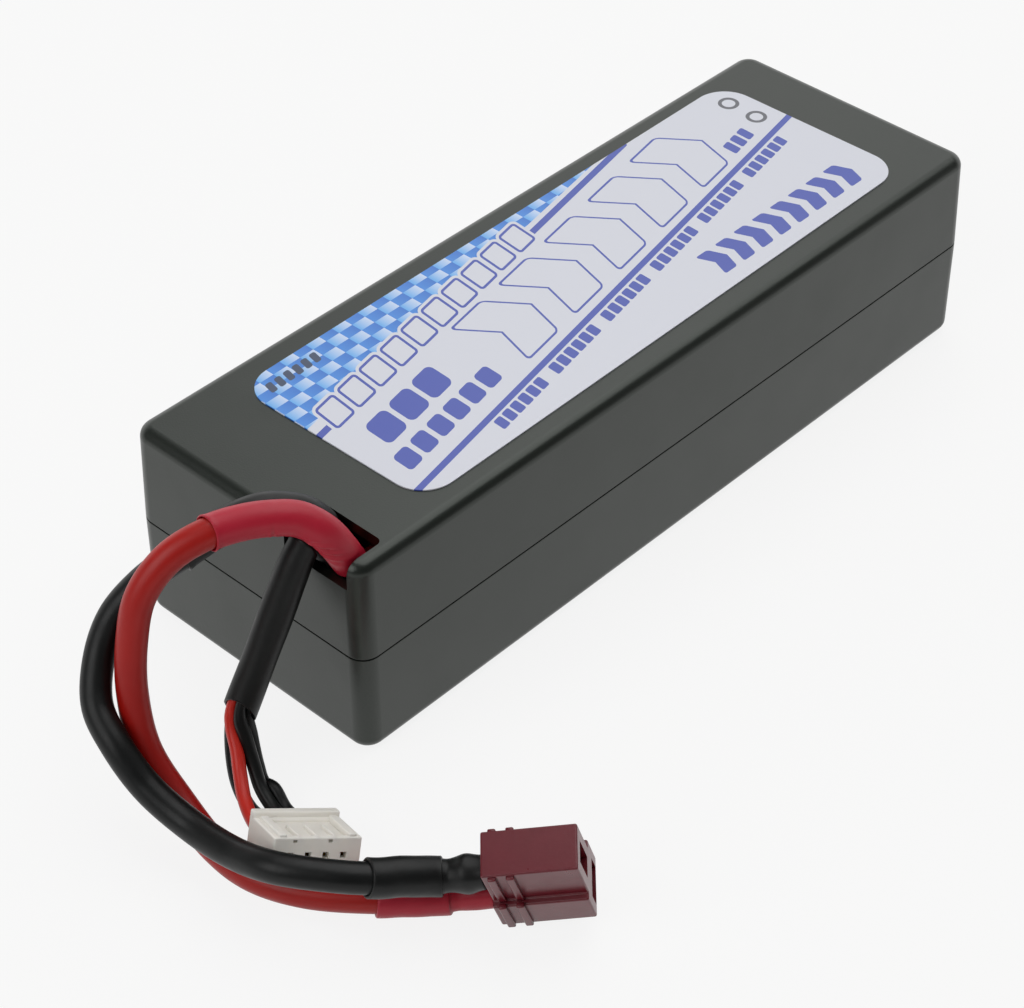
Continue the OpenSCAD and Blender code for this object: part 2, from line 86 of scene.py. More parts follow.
# The solids' routes in millimetres, eased by up to 1.3 mm where the tubing crowds the notch and where the
# wires spread to their plug. The sheath starts 2.4 mm further into the notch
POSITIVE = [
    (-58.6, -18, 14), (-58.6, -18, 19.5), (-60.6, -18, 25.3), (-65.2, -17.8, 31.4),
    (-66.7, -17.8, 34.4), (-68.5, -16.6, 38), (-70.6, -14.2, 40.1), (-73.6, -12, 40.87),
    (-77, -9.7, 40.87), (-81, -7.5, 40.2), (-86, -5.2, 37.8), (-90.3, -3.9, 33),
    (-93, -4.3, 26.5), (-95, -5.8, 19.5), (-96.3, -9.1, 12), (-96.2, -15, 6),
    (-96.7, -22.7, 2.8), (-96.4, -29.7, 2.4), (-93.6, -36.8, 2.4), (-88.2, -44.6, 2.9),
    (-84.2, -48.6, 2.9), (-81, -51.6, 2.9), (-79.3, -53.3, 3.1), (-76.9, -56.2, 3.8)]
NEGATIVE = [
    (-58.6, -7, 14), (-58.6, -7, 19.5), (-60.2, -8.6, 25.3), (-63.4, -11.1, 31.8),
    (-64.6, -11.1, 34.1), (-66.8, -10.3, 36.6), (-71, -7.5, 38), (-76.8, -5.1, 37.1),
    (-82.5, -3, 34.7), (-87.5, -0.5, 31.2), (-91.7, 0.8, 27.3), (-95.4, 0.1, 22.8),
    (-99.1, -3.2, 18.5), (-100.48, -8.2, 15.5), (-100.3, -13.8, 11.1), (-99.4, -20.8, 8.4),
    (-99.3, -29.3, 9.2), (-98.6, -36.8, 11.4), (-95.1, -42.3, 11.3), (-91.3, -46.4, 10.7),
    (-87.4, -49.4, 10.1), (-83.1, -52.2, 8.8), (-79.3, -56.7, 9.9)]
SHEATH = [
    (-69.4, -13.3, 34), (-70.6, -13, 32), (-74.6, -12.8, 25), (-78.6, -12.7, 18.2), (-82.6, -12.8, 12)]
# Each wire's lane in the sheath, and its route before and after it
LANES = [(-0.67, 0.81, 0.44), (0.67, 0.81, -0.44), (-0.67, -0.81, 0.44), (0.67, -0.81, -0.44)]
WIRE_INNER = [
    [(-57.2, -14.4, 26.5), (-59.5, -14.4, 26.5), (-61.8, -14.4, 28.4), (-63.3, -14.4, 31.5),
     (-65, -14.4, 34.2), (-67.3, -14, 35.8), (-69.2, -13, 35.8)],
    [(-57.2, -14.4, 21.5), (-60, -14.4, 21.5), (-64.4, -13.6, 23.2), (-66.2, -13.3, 26.5),
     (-66.2, -13.2, 29.5), (-66.6, -13.1, 31.1), (-67.7, -12.7, 32.6)],
    [(-57.2, -14.4, 24), (-60, -14.4, 24), (-63, -14.4, 26.8), (-64.7, -14.4, 30.2),
     (-65.9, -14.5, 32.4), (-67.3, -14.5, 34), (-69, -14.4, 34.9)],
    [(-57.2, -14.4, 19), (-60.5, -14.4, 19), (-64.8, -15.1, 21.6), (-66.2, -15.3, 25.5),
     (-66.2, -15.3, 29.5), (-66.6, -15.3, 30.9), (-67.7, -14.7, 32.1)]]
WIRE_OUTER = [
    [(-84.2, -12.8, 10.1), (-85.4, -14.9, 7.8), (-87.1, -17.2, 5.8), (-89.1, -20.2, 4.4),
     (-90.9, -24.2, 4.1), (-91.5, -26.9, 5.2)],
    [(-82.8, -11.3, 9.3), (-84.8, -13, 5.2), (-86.8, -16.2, 2.8), (-87.9, -20, 1.5),
     (-88.5, -25.5, 3.2), (-89.4, -28, 4.5)],
    [(-83.8, -15.1, 9.2), (-84.5, -17.1, 5.9), (-85.5, -19.5, 3.6), (-86.2, -22.9, 2.2),
     (-87, -26.4, 2.5), (-87.4, -29.1, 3.7)],
    [(-82.4, -14.5, 8.3), (-83.5, -16.7, 4.6), (-84.1, -18.4, 2.9), (-83.9, -20.2, 2.9),
     (-84.5, -23.2, 1.3), (-84.9, -27.5, 1.6), (-85.3, -30.3, 2.9)]]

LEAD_R = 2.2 * MM
WIRE_R = 0.8 * MM          # squeezed in the sheath
FREE_WIRE_R = 1.0 * MM     # past its end
ROUTE_STEP = 0.35 * MM
LEAD_SIDES, LEAD_STEP = 40, 0.7 * MM
WIRE_SIDES, WIRE_STEP = 20, 0.4 * MM


class Route:
    """A smooth line through a lead's points, with a sideways direction carried along it without twist."""

    def __init__(self, points):
        corners = metres(points)
        ends = [2 * corners[0] - corners[1]] + corners + [2 * corners[-1] - corners[-2]]
        self.points, self.marks = [], []
        for a, b, c, d in zip(ends, ends[1:], ends[2:], ends[3:]):
            self.marks.append(len(self.points))
            steps = max(4, round((c - b).length / ROUTE_STEP))
            self.points += [self.between(a, b, c, d, i / steps) for i in range(steps)]
        self.marks.append(len(self.points))
        self.points.append(corners[-1])
        self.reach = [0.0]
        for a, b in zip(self.points, self.points[1:]):
            self.reach.append(self.reach[-1] + (b - a).length)
        self.length = self.reach[-1]
        self.sides = []
        side = Vector((0, 1, 0))
        for i in range(len(self.points)):
            along = self.along(i)
            side = (side - side.dot(along) * along).normalized()
            self.sides.append(side)

    @staticmethod
    def between(a, b, c, d, t):
        # Catmull-Rom with knots at the square root of the spacing, so uneven points don't overshoot
        t1 = math.sqrt((b - a).length)
        t2 = t1 + math.sqrt((c - b).length)
        t3 = t2 + math.sqrt((d - c).length)
        u = t1 + (t2 - t1) * t
        ab = a.lerp(b, u / t1)
        bc = b.lerp(c, (u - t1) / (t2 - t1))
        cd = c.lerp(d, (u - t2) / (t3 - t2))
        return ab.lerp(bc, u / t2).lerp(bc.lerp(cd, (u - t1) / (t3 - t1)), (u - t1) / (t2 - t1))

    def along(self, i):
        return (self.points[min(i + 1, len(self.points) - 1)] - self.points[max(i - 1, 0)]).normalized()

    def at(self, distance):
        i = min(max(bisect.bisect(self.reach, distance) - 1, 0), len(self.points) - 2)
        part = (distance - self.reach[i]) / (self.reach[i + 1] - self.reach[i])
        centre = self.points[i].lerp(self.points[i + 1], part)
        along = self.along(i).lerp(self.along(i + 1), min(max(part, 0), 1)).normalized()
        side = self.sides[i]
        side = (side - side.dot(along) * along).normalized()
        return centre, side, along.cross(side)

    def mark(self, i):
        """Distance along the route of its i-th listed point."""
        return self.reach[self.marks[i]]

    def path(self):
        """Every third point of the route, and the last."""
        return self.points[:-1:3] + [self.points[-1]]


def facing(route, distance, direction):
    """Angle round the route, at a distance, that looks most in the given direction."""
    side, up = route.at(distance)[1:]
    direction = Vector(direction)
    return math.atan2(direction.dot(up), direction.dot(side))


def skin(name, route, rings, sides, closed=False, shift=None):
    """Mesh round a route. Each ring is (distance, radius), where radius may depend on (distance, angle).
    shift(distance, angle) slides points along the route, for ends that aren't cut square."""
    mesh = bpy.data.meshes.new(name)
    bm = bmesh.new()
    uv = bm.loops.layers.uv.new("along")
    loops = []
    for distance, radius in rings:
        ring = []
        for k in range(sides):
            angle = 2 * math.pi * k / sides
            centre, side, up = route.at(distance + (shift(distance, angle) if shift else 0))
            r = radius(distance, angle) if callable(radius) else radius
            ring.append(bm.verts.new(centre + r * (math.cos(angle) * side + math.sin(angle) * up)))
        loops.append((distance, ring))
    pairs = list(zip(loops, loops[1:])) + ([(loops[-1], loops[0])] if closed else [])
    for (d0, a), (d1, b) in pairs:
        for k in range(sides):
            n = (k + 1) % sides
            face = bm.faces.new((a[k], a[n], b[n], b[k]))
            face.smooth = True
            for corner, where in zip(face.loops, ((k, d0), (k + 1, d0), (k + 1, d1), (k, d1))):
                corner[uv].uv = (where[0] / sides, where[1] / MM)
    if not closed:
        bm.faces.new(list(reversed(loops[0][1])))
        bm.faces.new(loops[-1][1])
    bmesh.ops.recalc_face_normals(bm, faces=bm.faces)
    bm.to_mesh(mesh)
    bm.free()
    piece = bpy.data.objects.new(name, mesh)
    bpy.context.scene.collection.objects.link(piece)
    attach(piece, "root")
    return piece


def spaced(start, end, step):
    count = max(2, math.ceil((end - start) / step))
    return [start + (end - start) * i / count for i in range(count + 1)]


def lead(name, route, radius, sides, step):
    piece = skin(name, route, [(d, radius) for d in spaced(0, route.length, step)], sides)
    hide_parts(name)
    return piece


def ease(t):
    t = min(max(t, 0), 1)
    return t * t * (3 - 2 * t)


def bump(distance, angle, at, turn, long, wide, height):
    """Soft rise (or dent) centred at a distance and an angle."""
    around = math.remainder(angle - turn, 2 * math.pi)
    return height * math.exp(-((distance - at) / long) ** 2 - (around / wide) ** 2)


def sleeve(name, route, start, end, bore, wall, shape=lambda d, a: 0.0, flare=0.0, toward=(0, 0, 1),
           slant=(0.0, 0.0), sides=56):
    """Shrink tubing on a route: a thin wall whose outside is shaped by shape(distance, angle). Its last
    millimetre flares, and its first and last edge fall back by slant on the side that faces toward."""
    lip = 0.35 * wall
    angles = facing(route, start, toward), facing(route, end, toward)
    reach = 5 * MM         # the slant dies out over this length

    def shift(d, a):
        return (slant[0] * math.cos(a - angles[0]) * ease((start + reach - d) / reach)
                - slant[1] * math.cos(a - angles[1]) * ease((d - end + reach) / reach))

    def opened(d):
        return flare * math.exp(-((end - d) / (0.6 * MM)) ** 2)

    def outer(sunk):
        return lambda d, a: bore + wall - sunk + opened(d) + shape(d, a)

    outside = [(start, outer(lip)), (start + 0.6 * lip, outer(0.3 * lip))]
    outside += [(d, outer(0)) for d in spaced(start + lip, end - lip, 0.25 * MM)]
    outside += [(end - 0.6 * lip, outer(0.3 * lip)), (end, outer(lip))]
    inside = [(d, lambda d, a: bore + opened(d)) for d in reversed(spaced(start, end, 0.5 * MM))]
    piece = skin(name, route, outside + inside, sides, closed=True, shift=shift)
    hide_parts(name)
    return piece


positive_route = Route(POSITIVE)
negative_route = Route(NEGATIVE)
sheath_route = Route(SHEATH)
wire_routes = [
    Route(inner + [tuple(Vector(p) + Vector(lane)) for p in SHEATH] + outer)
    for inner, lane, outer in zip(WIRE_INNER, LANES, WIRE_OUTER)]

positive_lead = lead("positive_lead", positive_route, LEAD_R, LEAD_SIDES, LEAD_STEP)
negative_lead = lead("negative_lead", negative_route, LEAD_R, LEAD_SIDES, LEAD_STEP)


def wire_size(route):
    """Squeezed inside the sheath, full size past its end."""
    free = route.mark(len(WIRE_INNER[0]) + len(SHEATH) - 1)
    return lambda d, a: WIRE_R + (FREE_WIRE_R - WIRE_R) * ease((d - free + 1 * MM) / (3 * MM))


wires = [
    lead(f"balance_wire_{i}", route, wire_size(route), WIRE_SIDES, WIRE_STEP)
    for i, route in enumerate(wire_routes, 1)]


# ---------------------------------------------------------------- sleeves

BORE = LEAD_R + 0.04 * MM
EXIT_WALL, PLUG_WALL = 0.25 * MM, 0.5 * MM
SHEATH_BORE, SHEATH_WALL = 2.1 * MM, 0.3 * MM
COVER_R = 2.36 * MM
TOWARD_FRONT = (-0.55, -0.52, 0.65)
# First and last route point under each sleeve
POSITIVE_EXIT, NEGATIVE_EXIT, PLUG_END = (3, 9), (3, 8), (19, 21)
# Creases in the red sleeve's inner bend: how many millimetres each is past route point CREASE_MARK, its
# height (a dent is below zero), and how far it leans along the route per radian
CREASES = [
    (0.6, -0.15, 1.2), (1.3, 0.14, 1.2), (2.0, -0.26, 1.5), (2.7, 0.18, 1.5), (3.4, -0.28, 1.9),
    (4.2, 0.15, 1.9), (5.0, -0.15, 2.2)]
CREASE_MARK, NICK_MARK = 4, 7

crease_turn = facing(positive_route, positive_route.mark(CREASE_MARK + 1), (-0.75, -0.5, -0.35))
nick_turn = facing(positive_route, positive_route.mark(NICK_MARK), (-0.3, -0.75, -0.3))


def red_exit_shape(d, a):
    """Creases where the red sleeve bends into the notch, and a small nick on its arch."""
    s = d - positive_route.mark(CREASE_MARK)
    turned = math.remainder(a - crease_turn, 2 * math.pi) * MM
    folds = sum(
        bump(s + lean * turned, a, at * MM, crease_turn, 0.28 * MM, 0.75, high * MM)
        for at, high, lean in CREASES)
    s = d - positive_route.mark(NICK_MARK)
    nick = (bump(s, a, -0.1 * MM, nick_turn, 0.18 * MM, 0.55, -0.2 * MM)
            + bump(s, a, 0.3 * MM, nick_turn, 0.25 * MM, 0.6, 0.07 * MM))
    return folds + nick


def plug_end_shape(d, a):
    """Unevenly shrunk: a slow wave along the sleeve and a slightly oval section."""
    wave = 0.05 * math.sin(d / (0.9 * MM)) * math.sin(a + d / (3 * MM))
    return (wave + 0.04 * math.sin(2 * a + 1)) * MM


def span(route, marks):
    return [route.mark(i) for i in marks]


positive_exit_sleeve = sleeve(
    "positive_exit_sleeve", positive_route, *span(positive_route, POSITIVE_EXIT), BORE, EXIT_WALL,
    red_exit_shape, flare=0.17 * MM, toward=TOWARD_FRONT, slant=(0, 1.1 * MM))
negative_exit_sleeve = sleeve(
    "negative_exit_sleeve", negative_route, *span(negative_route, NEGATIVE_EXIT), BORE, EXIT_WALL,
    flare=0.12 * MM, toward=TOWARD_FRONT, slant=(0, 0.6 * MM))
positive_plug_sleeve = sleeve(
    "positive_plug_sleeve", positive_route, *span(positive_route, PLUG_END), BORE, PLUG_WALL,
    plug_end_shape, toward=TOWARD_FRONT, slant=(0.5 * MM, 0.3 * MM))
negative_plug_sleeve = sleeve(
    "negative_plug_sleeve", negative_route, *span(negative_route, PLUG_END), BORE, PLUG_WALL,
    plug_end_shape, toward=TOWARD_FRONT, slant=(0.7 * MM, 0.3 * MM))


def sheath_shape(d, a):
    """Snug at the notch, and lightly pressed oval by the wires inside."""
    snug = -0.18 * MM * ease((4 * MM - d) / (4 * MM))
    wave = 0.04 * math.sin(d / (2.2 * MM)) * math.sin(2 * a)
    return snug + (wave + 0.08 * math.cos(2 * a + 0.6)) * MM


balance_sheath = sleeve(
    "balance_sheath", sheath_route, 0, sheath_route.length, SHEATH_BORE, SHEATH_WALL, sheath_shape,
    toward=(-0.75, -0.3, 0.3), slant=(-1.5 * MM, 1.8 * MM))


def joint_cover(name, route, belly):
    """Thin shrink over a soldered joint, from under the sleeve to the plug: a neck, then an uneven belly."""
    start, end = route.mark(PLUG_END[1]) - 0.6 * MM, route.length - 0.3 * MM
    turn = facing(route, end, (0, 0, 1))

    def radius(d, a):
        t = (d - start) / (end - start)
        neck = 0.12 * MM * math.exp(-((t - 0.22) / 0.12) ** 2)
        swell = belly * math.exp(-((t - 0.62) / 0.2) ** 2)
        facets = 0.12 * MM * abs(math.cos(1.5 * (a - turn))) * ease(t * 2)
        return COVER_R - neck + swell * (0.75 + 0.25 * math.cos(2 * (a - turn))) - facets

    return skin(name, route, [(d, radius) for d in spaced(start, end, 0.25 * MM)], 48)


positive_cover = joint_cover("positive_joint_cover", positive_route, 0.1 * MM)
negative_cover = joint_cover("negative_joint_cover", negative_route, 0.55 * MM)


# ---------------------------------------------------------------- modelling by hand
# These functions take radii and places in millimetres

def clear():
    """Leaves edit mode and lets go of everything."""
    if bpy.context.object and bpy.context.object.mode != "OBJECT":
        bpy.ops.object.mode_set(mode="OBJECT")
    bpy.ops.object.select_all(action="DESELECT")


def take(piece):
    clear()
    piece.select_set(True)
    bpy.context.view_layer.objects.active = piece


def block(name, low, high):
    """Block from its low corner to its high corner."""
    low, high = Vector(low) * MM, Vector(high) * MM
    clear()
    bpy.ops.mesh.primitive_cube_add(size=1, location=(low + high) / 2)
    piece = bpy.context.object
    piece.name = piece.data.name = name
    piece.scale = high - low
    bpy.ops.object.transform_apply(location=True, rotation=True, scale=True)
    return piece


def edit(piece, kind):
    """Enters edit mode with nothing selected; returns the mesh being edited."""
    take(piece)
    bpy.ops.object.mode_set(mode="EDIT")
    bpy.ops.mesh.select_mode(type=kind)
    bpy.ops.mesh.select_all(action="DESELECT")
    return bmesh.from_edit_mesh(piece.data)


def done(piece):
    bmesh.update_edit_mesh(piece.data)
    bpy.ops.object.mode_set(mode="OBJECT")


def bevel(piece, choose, radius, steps):
    """Rounds the edges that pass choose(edge, one end, other end)."""
    bm = edit(piece, "EDGE")
    for e in bm.edges:
        e.select = bool(choose(e, e.verts[0].co / MM, e.verts[1].co / MM))
    bm.select_flush_mode()
    bpy.ops.mesh.bevel(offset=radius * MM, segments=steps, affect="EDGES", clamp_overlap=True)
    done(piece)


def round_edges(piece, choose, radius, steps):
    """Rounds the edges whose two ends pass choose(a, b)."""
    bevel(piece, lambda e, a, b: choose(a, b), radius, steps)


def sharp_edges(piece, radius, steps, angle=35, within=lambda p: True):
    """Rounds every edge sharper than the angle whose middle is within the place asked for."""
    limit = math.radians(angle)

    def chosen(e, a, b):
        turn = e.calc_face_angle(None)
        return turn and turn > limit and within((a + b) / 2)

    bevel(piece, chosen, radius, steps)


def cut_away(piece, tool):
    """Cuts the tool's shape out of the piece, and uses the tool up."""
    take(piece)
    cut = piece.modifiers.new("cut", "BOOLEAN")
    cut.operation, cut.solver, cut.object = "DIFFERENCE", "EXACT", tool
    bpy.ops.object.modifier_apply(modifier="cut")
    bpy.data.objects.remove(tool)


def copied(piece, move):
    """A copy with its own mesh, moved by so many millimetres."""
    copy = piece.copy()
    copy.data = piece.data.copy()
    copy.data.transform(Matrix.Translation(Vector(move) * MM))
    bpy.context.scene.collection.objects.link(copy)
    return copy


def joined(pieces):
    """Joins the pieces into the first one."""
    take(pieces[0])
    for p in pieces:
        p.select_set(True)
    bpy.ops.object.join()
    return pieces[0]


def smooth(piece, angle=32):
    """Roundings shade smoothly and blend into the flat faces, which keep their own direction."""
    take(piece)
    bpy.ops.object.shade_smooth_by_angle(angle=math.radians(angle))
    normals = piece.modifiers.new("normals", "WEIGHTED_NORMAL")
    normals.keep_sharp = True
    bpy.ops.object.modifier_apply(modifier="normals")


def placed(piece, at, turn):
    """Puts a piece modelled in its own frame into the battery's frame, turned by degrees about X, Y and Z."""
    turned = Euler([math.radians(a) for a in turn]).to_matrix().to_4x4()
    piece.data.transform(Matrix.Translation(Vector(at) * MM) @ turned)


SAME = 0.01        # places closer than this are one


def upright(a, b):
    return abs(a.z - b.z) > 0.1 and abs(a.x - b.x) < SAME and abs(a.y - b.y) < SAME


# ---------------------------------------------------------------- case

HALF_L, HALF_W = 69, 23.5
SEAM, TOP = 17.6, 34.4
WALL, CORNER, EDGE = 1.8, 3, 1.9
SEAM_GAP = 0.2                       # the dark line between the halves
LEAN = 0.4                           # how far the upper half's sides lean in at the top
TONGUE, TONGUE_H, FIT = 0.8, 1.6, 0.1
NOTCH_L, NOTCH_D, NOTCH_Y = 7.3, 4.4, (-20.7, -8.5)
NOTCH_EDGE, SEAM_EDGE = 0.3, 0.12


def case_half(name, low_z, high_z, edge_z):
    """Rounded block: upright corners first, then the edge round the floor or the top, at edge_z."""
    half = block(name, (-HALF_L, -HALF_W, low_z), (HALF_L, HALF_W, high_z))
    round_edges(half, upright, CORNER, 12)
    if edge_z == TOP:
        bm = edit(half, "VERT")
        for v in bm.verts:
            v.select = abs(v.co.z / MM - edge_z) < SAME
        bm.select_flush_mode()
        bpy.ops.transform.resize(
            value=(1 - LEAN / HALF_L, 1 - LEAN / HALF_W, 1), center_override=(0, 0, edge_z * MM))
        done(half)
    round_edges(half, lambda a, b: abs(a.z - edge_z) < SAME and abs(b.z - edge_z) < SAME, EDGE, 10)
    return half


def hollow(name, low_z, high_z, grow=0.0):
    """The room inside the walls, with its sides moved out by grow."""
    inner = block(name, (-HALF_L + WALL - grow, -HALF_W + WALL - grow, low_z),
                  (HALF_L - WALL + grow, HALF_W - WALL + grow, high_z))
    round_edges(inner, upright, CORNER - WALL + grow, 6)
    return inner


lower_shell = case_half("lower_case", 0, SEAM, 0)
cut_away(lower_shell, hollow("room", WALL, SEAM + 1))
sharp_edges(lower_shell, SEAM_EDGE, 2, within=lambda p: p.z > SEAM - 0.1)
tongue = hollow("tongue", SEAM - 1, SEAM + TONGUE_H, TONGUE)
cut_away(tongue, hollow("room", SEAM - 2, SEAM + 3))
lower_shell = joined([lower_shell, tongue])

upper_shell = case_half("upper_case", SEAM + SEAM_GAP, TOP, TOP)
cut_away(upper_shell, hollow("seat", SEAM - 1, SEAM + TONGUE_H, TONGUE + FIT))
cut_away(upper_shell, hollow("room", SEAM - 1, TOP - WALL))
notch = block(
    "notch", (-HALF_L - 2, NOTCH_Y[0], TOP - NOTCH_D), (-HALF_L + NOTCH_L, NOTCH_Y[1], TOP + 3))
round_edges(notch, upright, 1, 6)
cut_away(upper_shell, notch)


def notch_rim(p):
    near = NOTCH_EDGE - 0.1
    return (p.x < -HALF_L + NOTCH_L + near and NOTCH_Y[0] - 0.3 < p.y < NOTCH_Y[1] + 0.3
            and p.z > TOP - NOTCH_D - near)


sharp_edges(upper_shell, NOTCH_EDGE, 3, within=notch_rim)
sharp_edges(upper_shell, SEAM_EDGE, 2, within=lambda p: p.z < SEAM + SEAM_GAP + 0.1)
for shell, node in ((lower_shell, "lower_shell"), (upper_shell, "upper_shell")):
    smooth(shell)
    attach(shell, "root")
    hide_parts(node)


# ---------------------------------------------------------------- power plug
# Own frame: X from the rear face to the mating face, Z along the width, from the narrow edge down

PLUG_AT, PLUG_TURN = (-80.8, -56.8, 14.6), (19, -11, -50)
PLUG_L, NARROW_W, PLUG_W = 12.8, 7.8, 14
NARROW_HALF, WIDE_HALF = 3.2, 4.25
RIB_X, RIB_HALF, RIB_OUT = (1.4, 3.8), 0.55, 0.5
SLOT_D, SLOTS = 9, ((-4.5, 2.7, 1.5), (-12.05, 1.5, 2.7))     # middle, half width and half thickness

plug = block("power_plug", (0, -NARROW_HALF, -PLUG_W), (PLUG_L, NARROW_HALF, 0))
edit(plug, "FACE")
bpy.ops.mesh.select_all(action="SELECT")
bpy.ops.mesh.bisect(plane_co=(0, 0, -NARROW_W * MM), plane_no=(0, 0, 1))
bpy.ops.mesh.select_all(action="DESELECT")
bm = bmesh.from_edit_mesh(plug.data)
for f in bm.faces:
    f.select = abs(f.normal.y) > 0.9 and f.calc_center_median().z / MM < -NARROW_W
bpy.ops.mesh.extrude_region_shrink_fatten(
    TRANSFORM_OT_shrink_fatten={"value": (WIDE_HALF - NARROW_HALF) * MM})
done(plug)
sharp_edges(plug, 0.28, 3, angle=60)
ribs = []
rib_spans = ((-NARROW_W + 0.1, -0.4, NARROW_HALF), (-PLUG_W + 0.1, -NARROW_W + 0.55, WIDE_HALF))
for side, (low, high, half) in itertools.product((-1, 1), rib_spans):
    near, far = sorted((side * (half - 0.3), side * (half + RIB_OUT)))
    rib = block("rib", (RIB_X[0] - RIB_HALF, near, low), (RIB_X[0] + RIB_HALF, far, high))
    sharp_edges(rib, 0.22, 3, angle=60)
    ribs.append(rib)
ribs += [copied(rib, (RIB_X[1] - RIB_X[0], 0, 0)) for rib in ribs]
for middle, tall, half in SLOTS:
    cut_away(plug, block(
        "slot", (PLUG_L - SLOT_D, -half, middle - tall), (PLUG_L + 1, half, middle + tall)))
plug = joined([plug] + ribs)
placed(plug, PLUG_AT, PLUG_TURN)
smooth(plug)
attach(plug, "root")
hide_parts("plug_housing")


# ---------------------------------------------------------------- balance plug
# Own frame: X from the wire end to the mating face, Y along the row of contacts

BPLUG_AT, BPLUG_TURN = (-88.4, -28.6, 4.1), (-20, -24.5, -110)
BPLUG_L, BPLUG_HALF_W, BPLUG_HALF_T = 10.1, 6.2, 2.5
PITCH = 2.5
CONTACTS = [PITCH * (i - 1.5) for i in range(4)]
CHAMBER_HALF, FRONT_WALL, PIN_HALF = 0.9, 1.2, 0.45
TRAY_FROM, TRAY_SIDE, TRAY_END, TRAY_D = 2.4, 1.5, 1, 0.45
LIP_L, LIP_H = 1.6, 0.8
SIDE_RAIL_Y = 4.9

housing = block(
    "balance_plug", (0, -BPLUG_HALF_W, -BPLUG_HALF_T), (BPLUG_L, BPLUG_HALF_W, BPLUG_HALF_T))
cut_away(housing, block(
    "tray", (TRAY_FROM, -BPLUG_HALF_W + TRAY_SIDE, BPLUG_HALF_T - TRAY_D),
    (BPLUG_L - TRAY_END, BPLUG_HALF_W - TRAY_SIDE, BPLUG_HALF_T + 1)))
for y in CONTACTS:
    cut_away(housing, block(
        "chamber", (-1, y - CHAMBER_HALF, -CHAMBER_HALF),
        (BPLUG_L - FRONT_WALL, y + CHAMBER_HALF, CHAMBER_HALF)))
    cut_away(housing, block(
        "pin_hole", (BPLUG_L - 2, y - PIN_HALF, -PIN_HALF), (BPLUG_L + 1, y + PIN_HALF, PIN_HALF)))
sharp_edges(housing, 0.25, 3, angle=60,
            within=lambda p: abs(p.y) > BPLUG_HALF_W - 0.1 or abs(p.z) > BPLUG_HALF_T - 0.02)
for y in (CONTACTS[0] + 0.5, CONTACTS[2] + 0.5):
    cut_away(housing, block(
        "vent", (BPLUG_L - 0.8, y - 0.3, BPLUG_HALF_T - 0.75),
        (BPLUG_L + 1, y + 0.3, BPLUG_HALF_T - 0.3)))
lip = block("lip", (0, -BPLUG_HALF_W, BPLUG_HALF_T - 0.3), (LIP_L, BPLUG_HALF_W, BPLUG_HALF_T + LIP_H))
sharp_edges(lip, 0.3, 3, angle=60)


def rail(y, half, start):
    """Low rail along the top, from its start to the mating face."""
    piece = block("rail", (start, y - half, BPLUG_HALF_T - 0.7),
                  (BPLUG_L - 0.2, y + half, BPLUG_HALF_T - 0.1 + 0.9 * half))
    sharp_edges(piece, 0.18, 3, angle=60)
    return piece


side_rail, thin_rail = rail(-SIDE_RAIL_Y, 0.55, 2), rail(-PITCH, 0.22, 4.6)
rails = [side_rail, thin_rail]
rails += [copied(thin_rail, (0, y, 0)) for y in (PITCH, 2 * PITCH)]
rails.append(copied(side_rail, (0, 2 * SIDE_RAIL_Y, 0)))
housing = joined([housing, lip] + rails)
placed(housing, BPLUG_AT, BPLUG_TURN)
smooth(housing)
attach(housing, "root")
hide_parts("balance_housing")


# ---------------------------------------------------------------- cord paths, worked out but not kept

for wire, route in zip(wires, wire_routes):
    route.path()


# ---------------------------------------------------------------- label

LABEL_X, LABEL_Y, LABEL_TURN = 2.65, 0.1, 0.7     # stuck on by hand, so a little turned
LABEL_L, LABEL_W, LABEL_T, LABEL_R = 109.9, 37.2, 0.2, 5.5

label = block("label", (-LABEL_L / 2, -LABEL_W / 2, 0), (LABEL_L / 2, LABEL_W / 2, LABEL_T))
round_edges(label, upright, LABEL_R, 16)
sharp_edges(label, 0.06, 2, angle=60, within=lambda p: p.z > LABEL_T - SAME)
placed(label, (LABEL_X, LABEL_Y, TOP), (0, 0, LABEL_TURN))
smooth(label)
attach(label, "root")
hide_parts("top_label")


# ---------------------------------------------------------------- materials

def srgb(code):
    """Linear colour of an sRGB hex code."""
    parts = [int(code[i:i + 2], 16) / 255 for i in (1, 3, 5)]
    return tuple(c / 12.92 if c <= 0.04045 else ((c + 0.055) / 1.055) ** 2.4 for c in parts) + (1,)


def add(tree, kind, settings=(), **inputs):
    """Adds a node. Settings are its properties; inputs are named or numbered sockets, as values or links."""
    node = tree.nodes.new("ShaderNode" + kind)
    for name, value in dict(settings).items():
        setattr(node, name, value)
    for name, value in inputs.items():
        key = int(name[1:]) if name[0] == "_" and name[1:].isdigit() else name.replace("_", " ")
        if isinstance(value, bpy.types.NodeSocket):
            tree.links.new(value, node.inputs[key])
        else:
            node.inputs[key].default_value = value
    return node


def finish(name, colour, roughness, **sockets):
    """New material with its plain sockets set; returns it with its tree, shader and Object coordinates."""
    material = bpy.data.materials.new(name)
    material.use_nodes = True
    tree = material.node_tree
    shader = next(n for n in tree.nodes if n.type == "BSDF_PRINCIPLED")
    shader.inputs["Base Color"].default_value = srgb(colour)
    shader.inputs["Roughness"].default_value = roughness
    for key, value in sockets.items():
        shader.inputs[key.replace("_", " ")].default_value = value
    place = add(tree, "TexCoord").outputs["Object"]
    return material, tree, shader, place


def dress(piece, material):
    """Gives a piece its one material."""
    piece.data.materials.clear()
    piece.data.materials.append(material)


